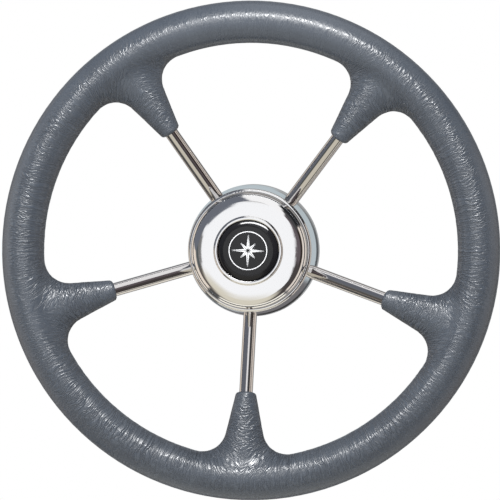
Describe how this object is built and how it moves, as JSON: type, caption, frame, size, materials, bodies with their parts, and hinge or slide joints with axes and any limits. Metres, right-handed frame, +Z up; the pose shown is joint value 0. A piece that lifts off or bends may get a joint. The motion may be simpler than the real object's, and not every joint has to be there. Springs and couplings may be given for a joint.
{
  "type": "boat steering wheel",
  "caption": "Dished boat steering wheel with round stainless spokes, a moulded leather-grained grip, a polished domed hub and a snap-in centre cap over the shaft nut.",
  "frame": {"origin": "centre of the shaft taper's large end, in the rear face of the hub boss", "axes": "+Y along the wheel's turning axis, out of the rear of the hub towards the helm; -Y is the front; +Z up with one spoke pointing down along -Z; +X to the right seen from the front"},
  "size_m": [0.35, 0.0588, 0.35],
  "materials": {
    "grip": "slate grey polyurethane with a fine leather grain",
    "polished_steel": "mirror polished stainless steel",
    "turned_steel": "turned stainless steel",
    "bare_steel": "drawn stainless rod, unpolished",
    "cap_plastic": "black gloss",
    "disc_plastic": "black satin",
    "seal_rubber": "black rubber"
  },
  "bodies": {
    "wheel": {"grip": "grip", "rim_core": "bare_steel", "spoke_1": "polished_steel", "spoke_2": "polished_steel", "spoke_3": "polished_steel", "spoke_4": "polished_steel", "spoke_5": "polished_steel", "hub_boss": "turned_steel", "hub_bell": "polished_steel", "hub_cover": "polished_steel"},
    "cap": {"centre_cap": "cap_plastic", "cap_disc": "disc_plastic", "cap_o_ring": "seal_rubber"}
  },
  "joints": [
    {"name": "cap_pull", "type": "slide", "parent": "wheel", "child": "cap", "axis": [0, -1, 0], "range_m": [0, 0.06]}
  ]
}
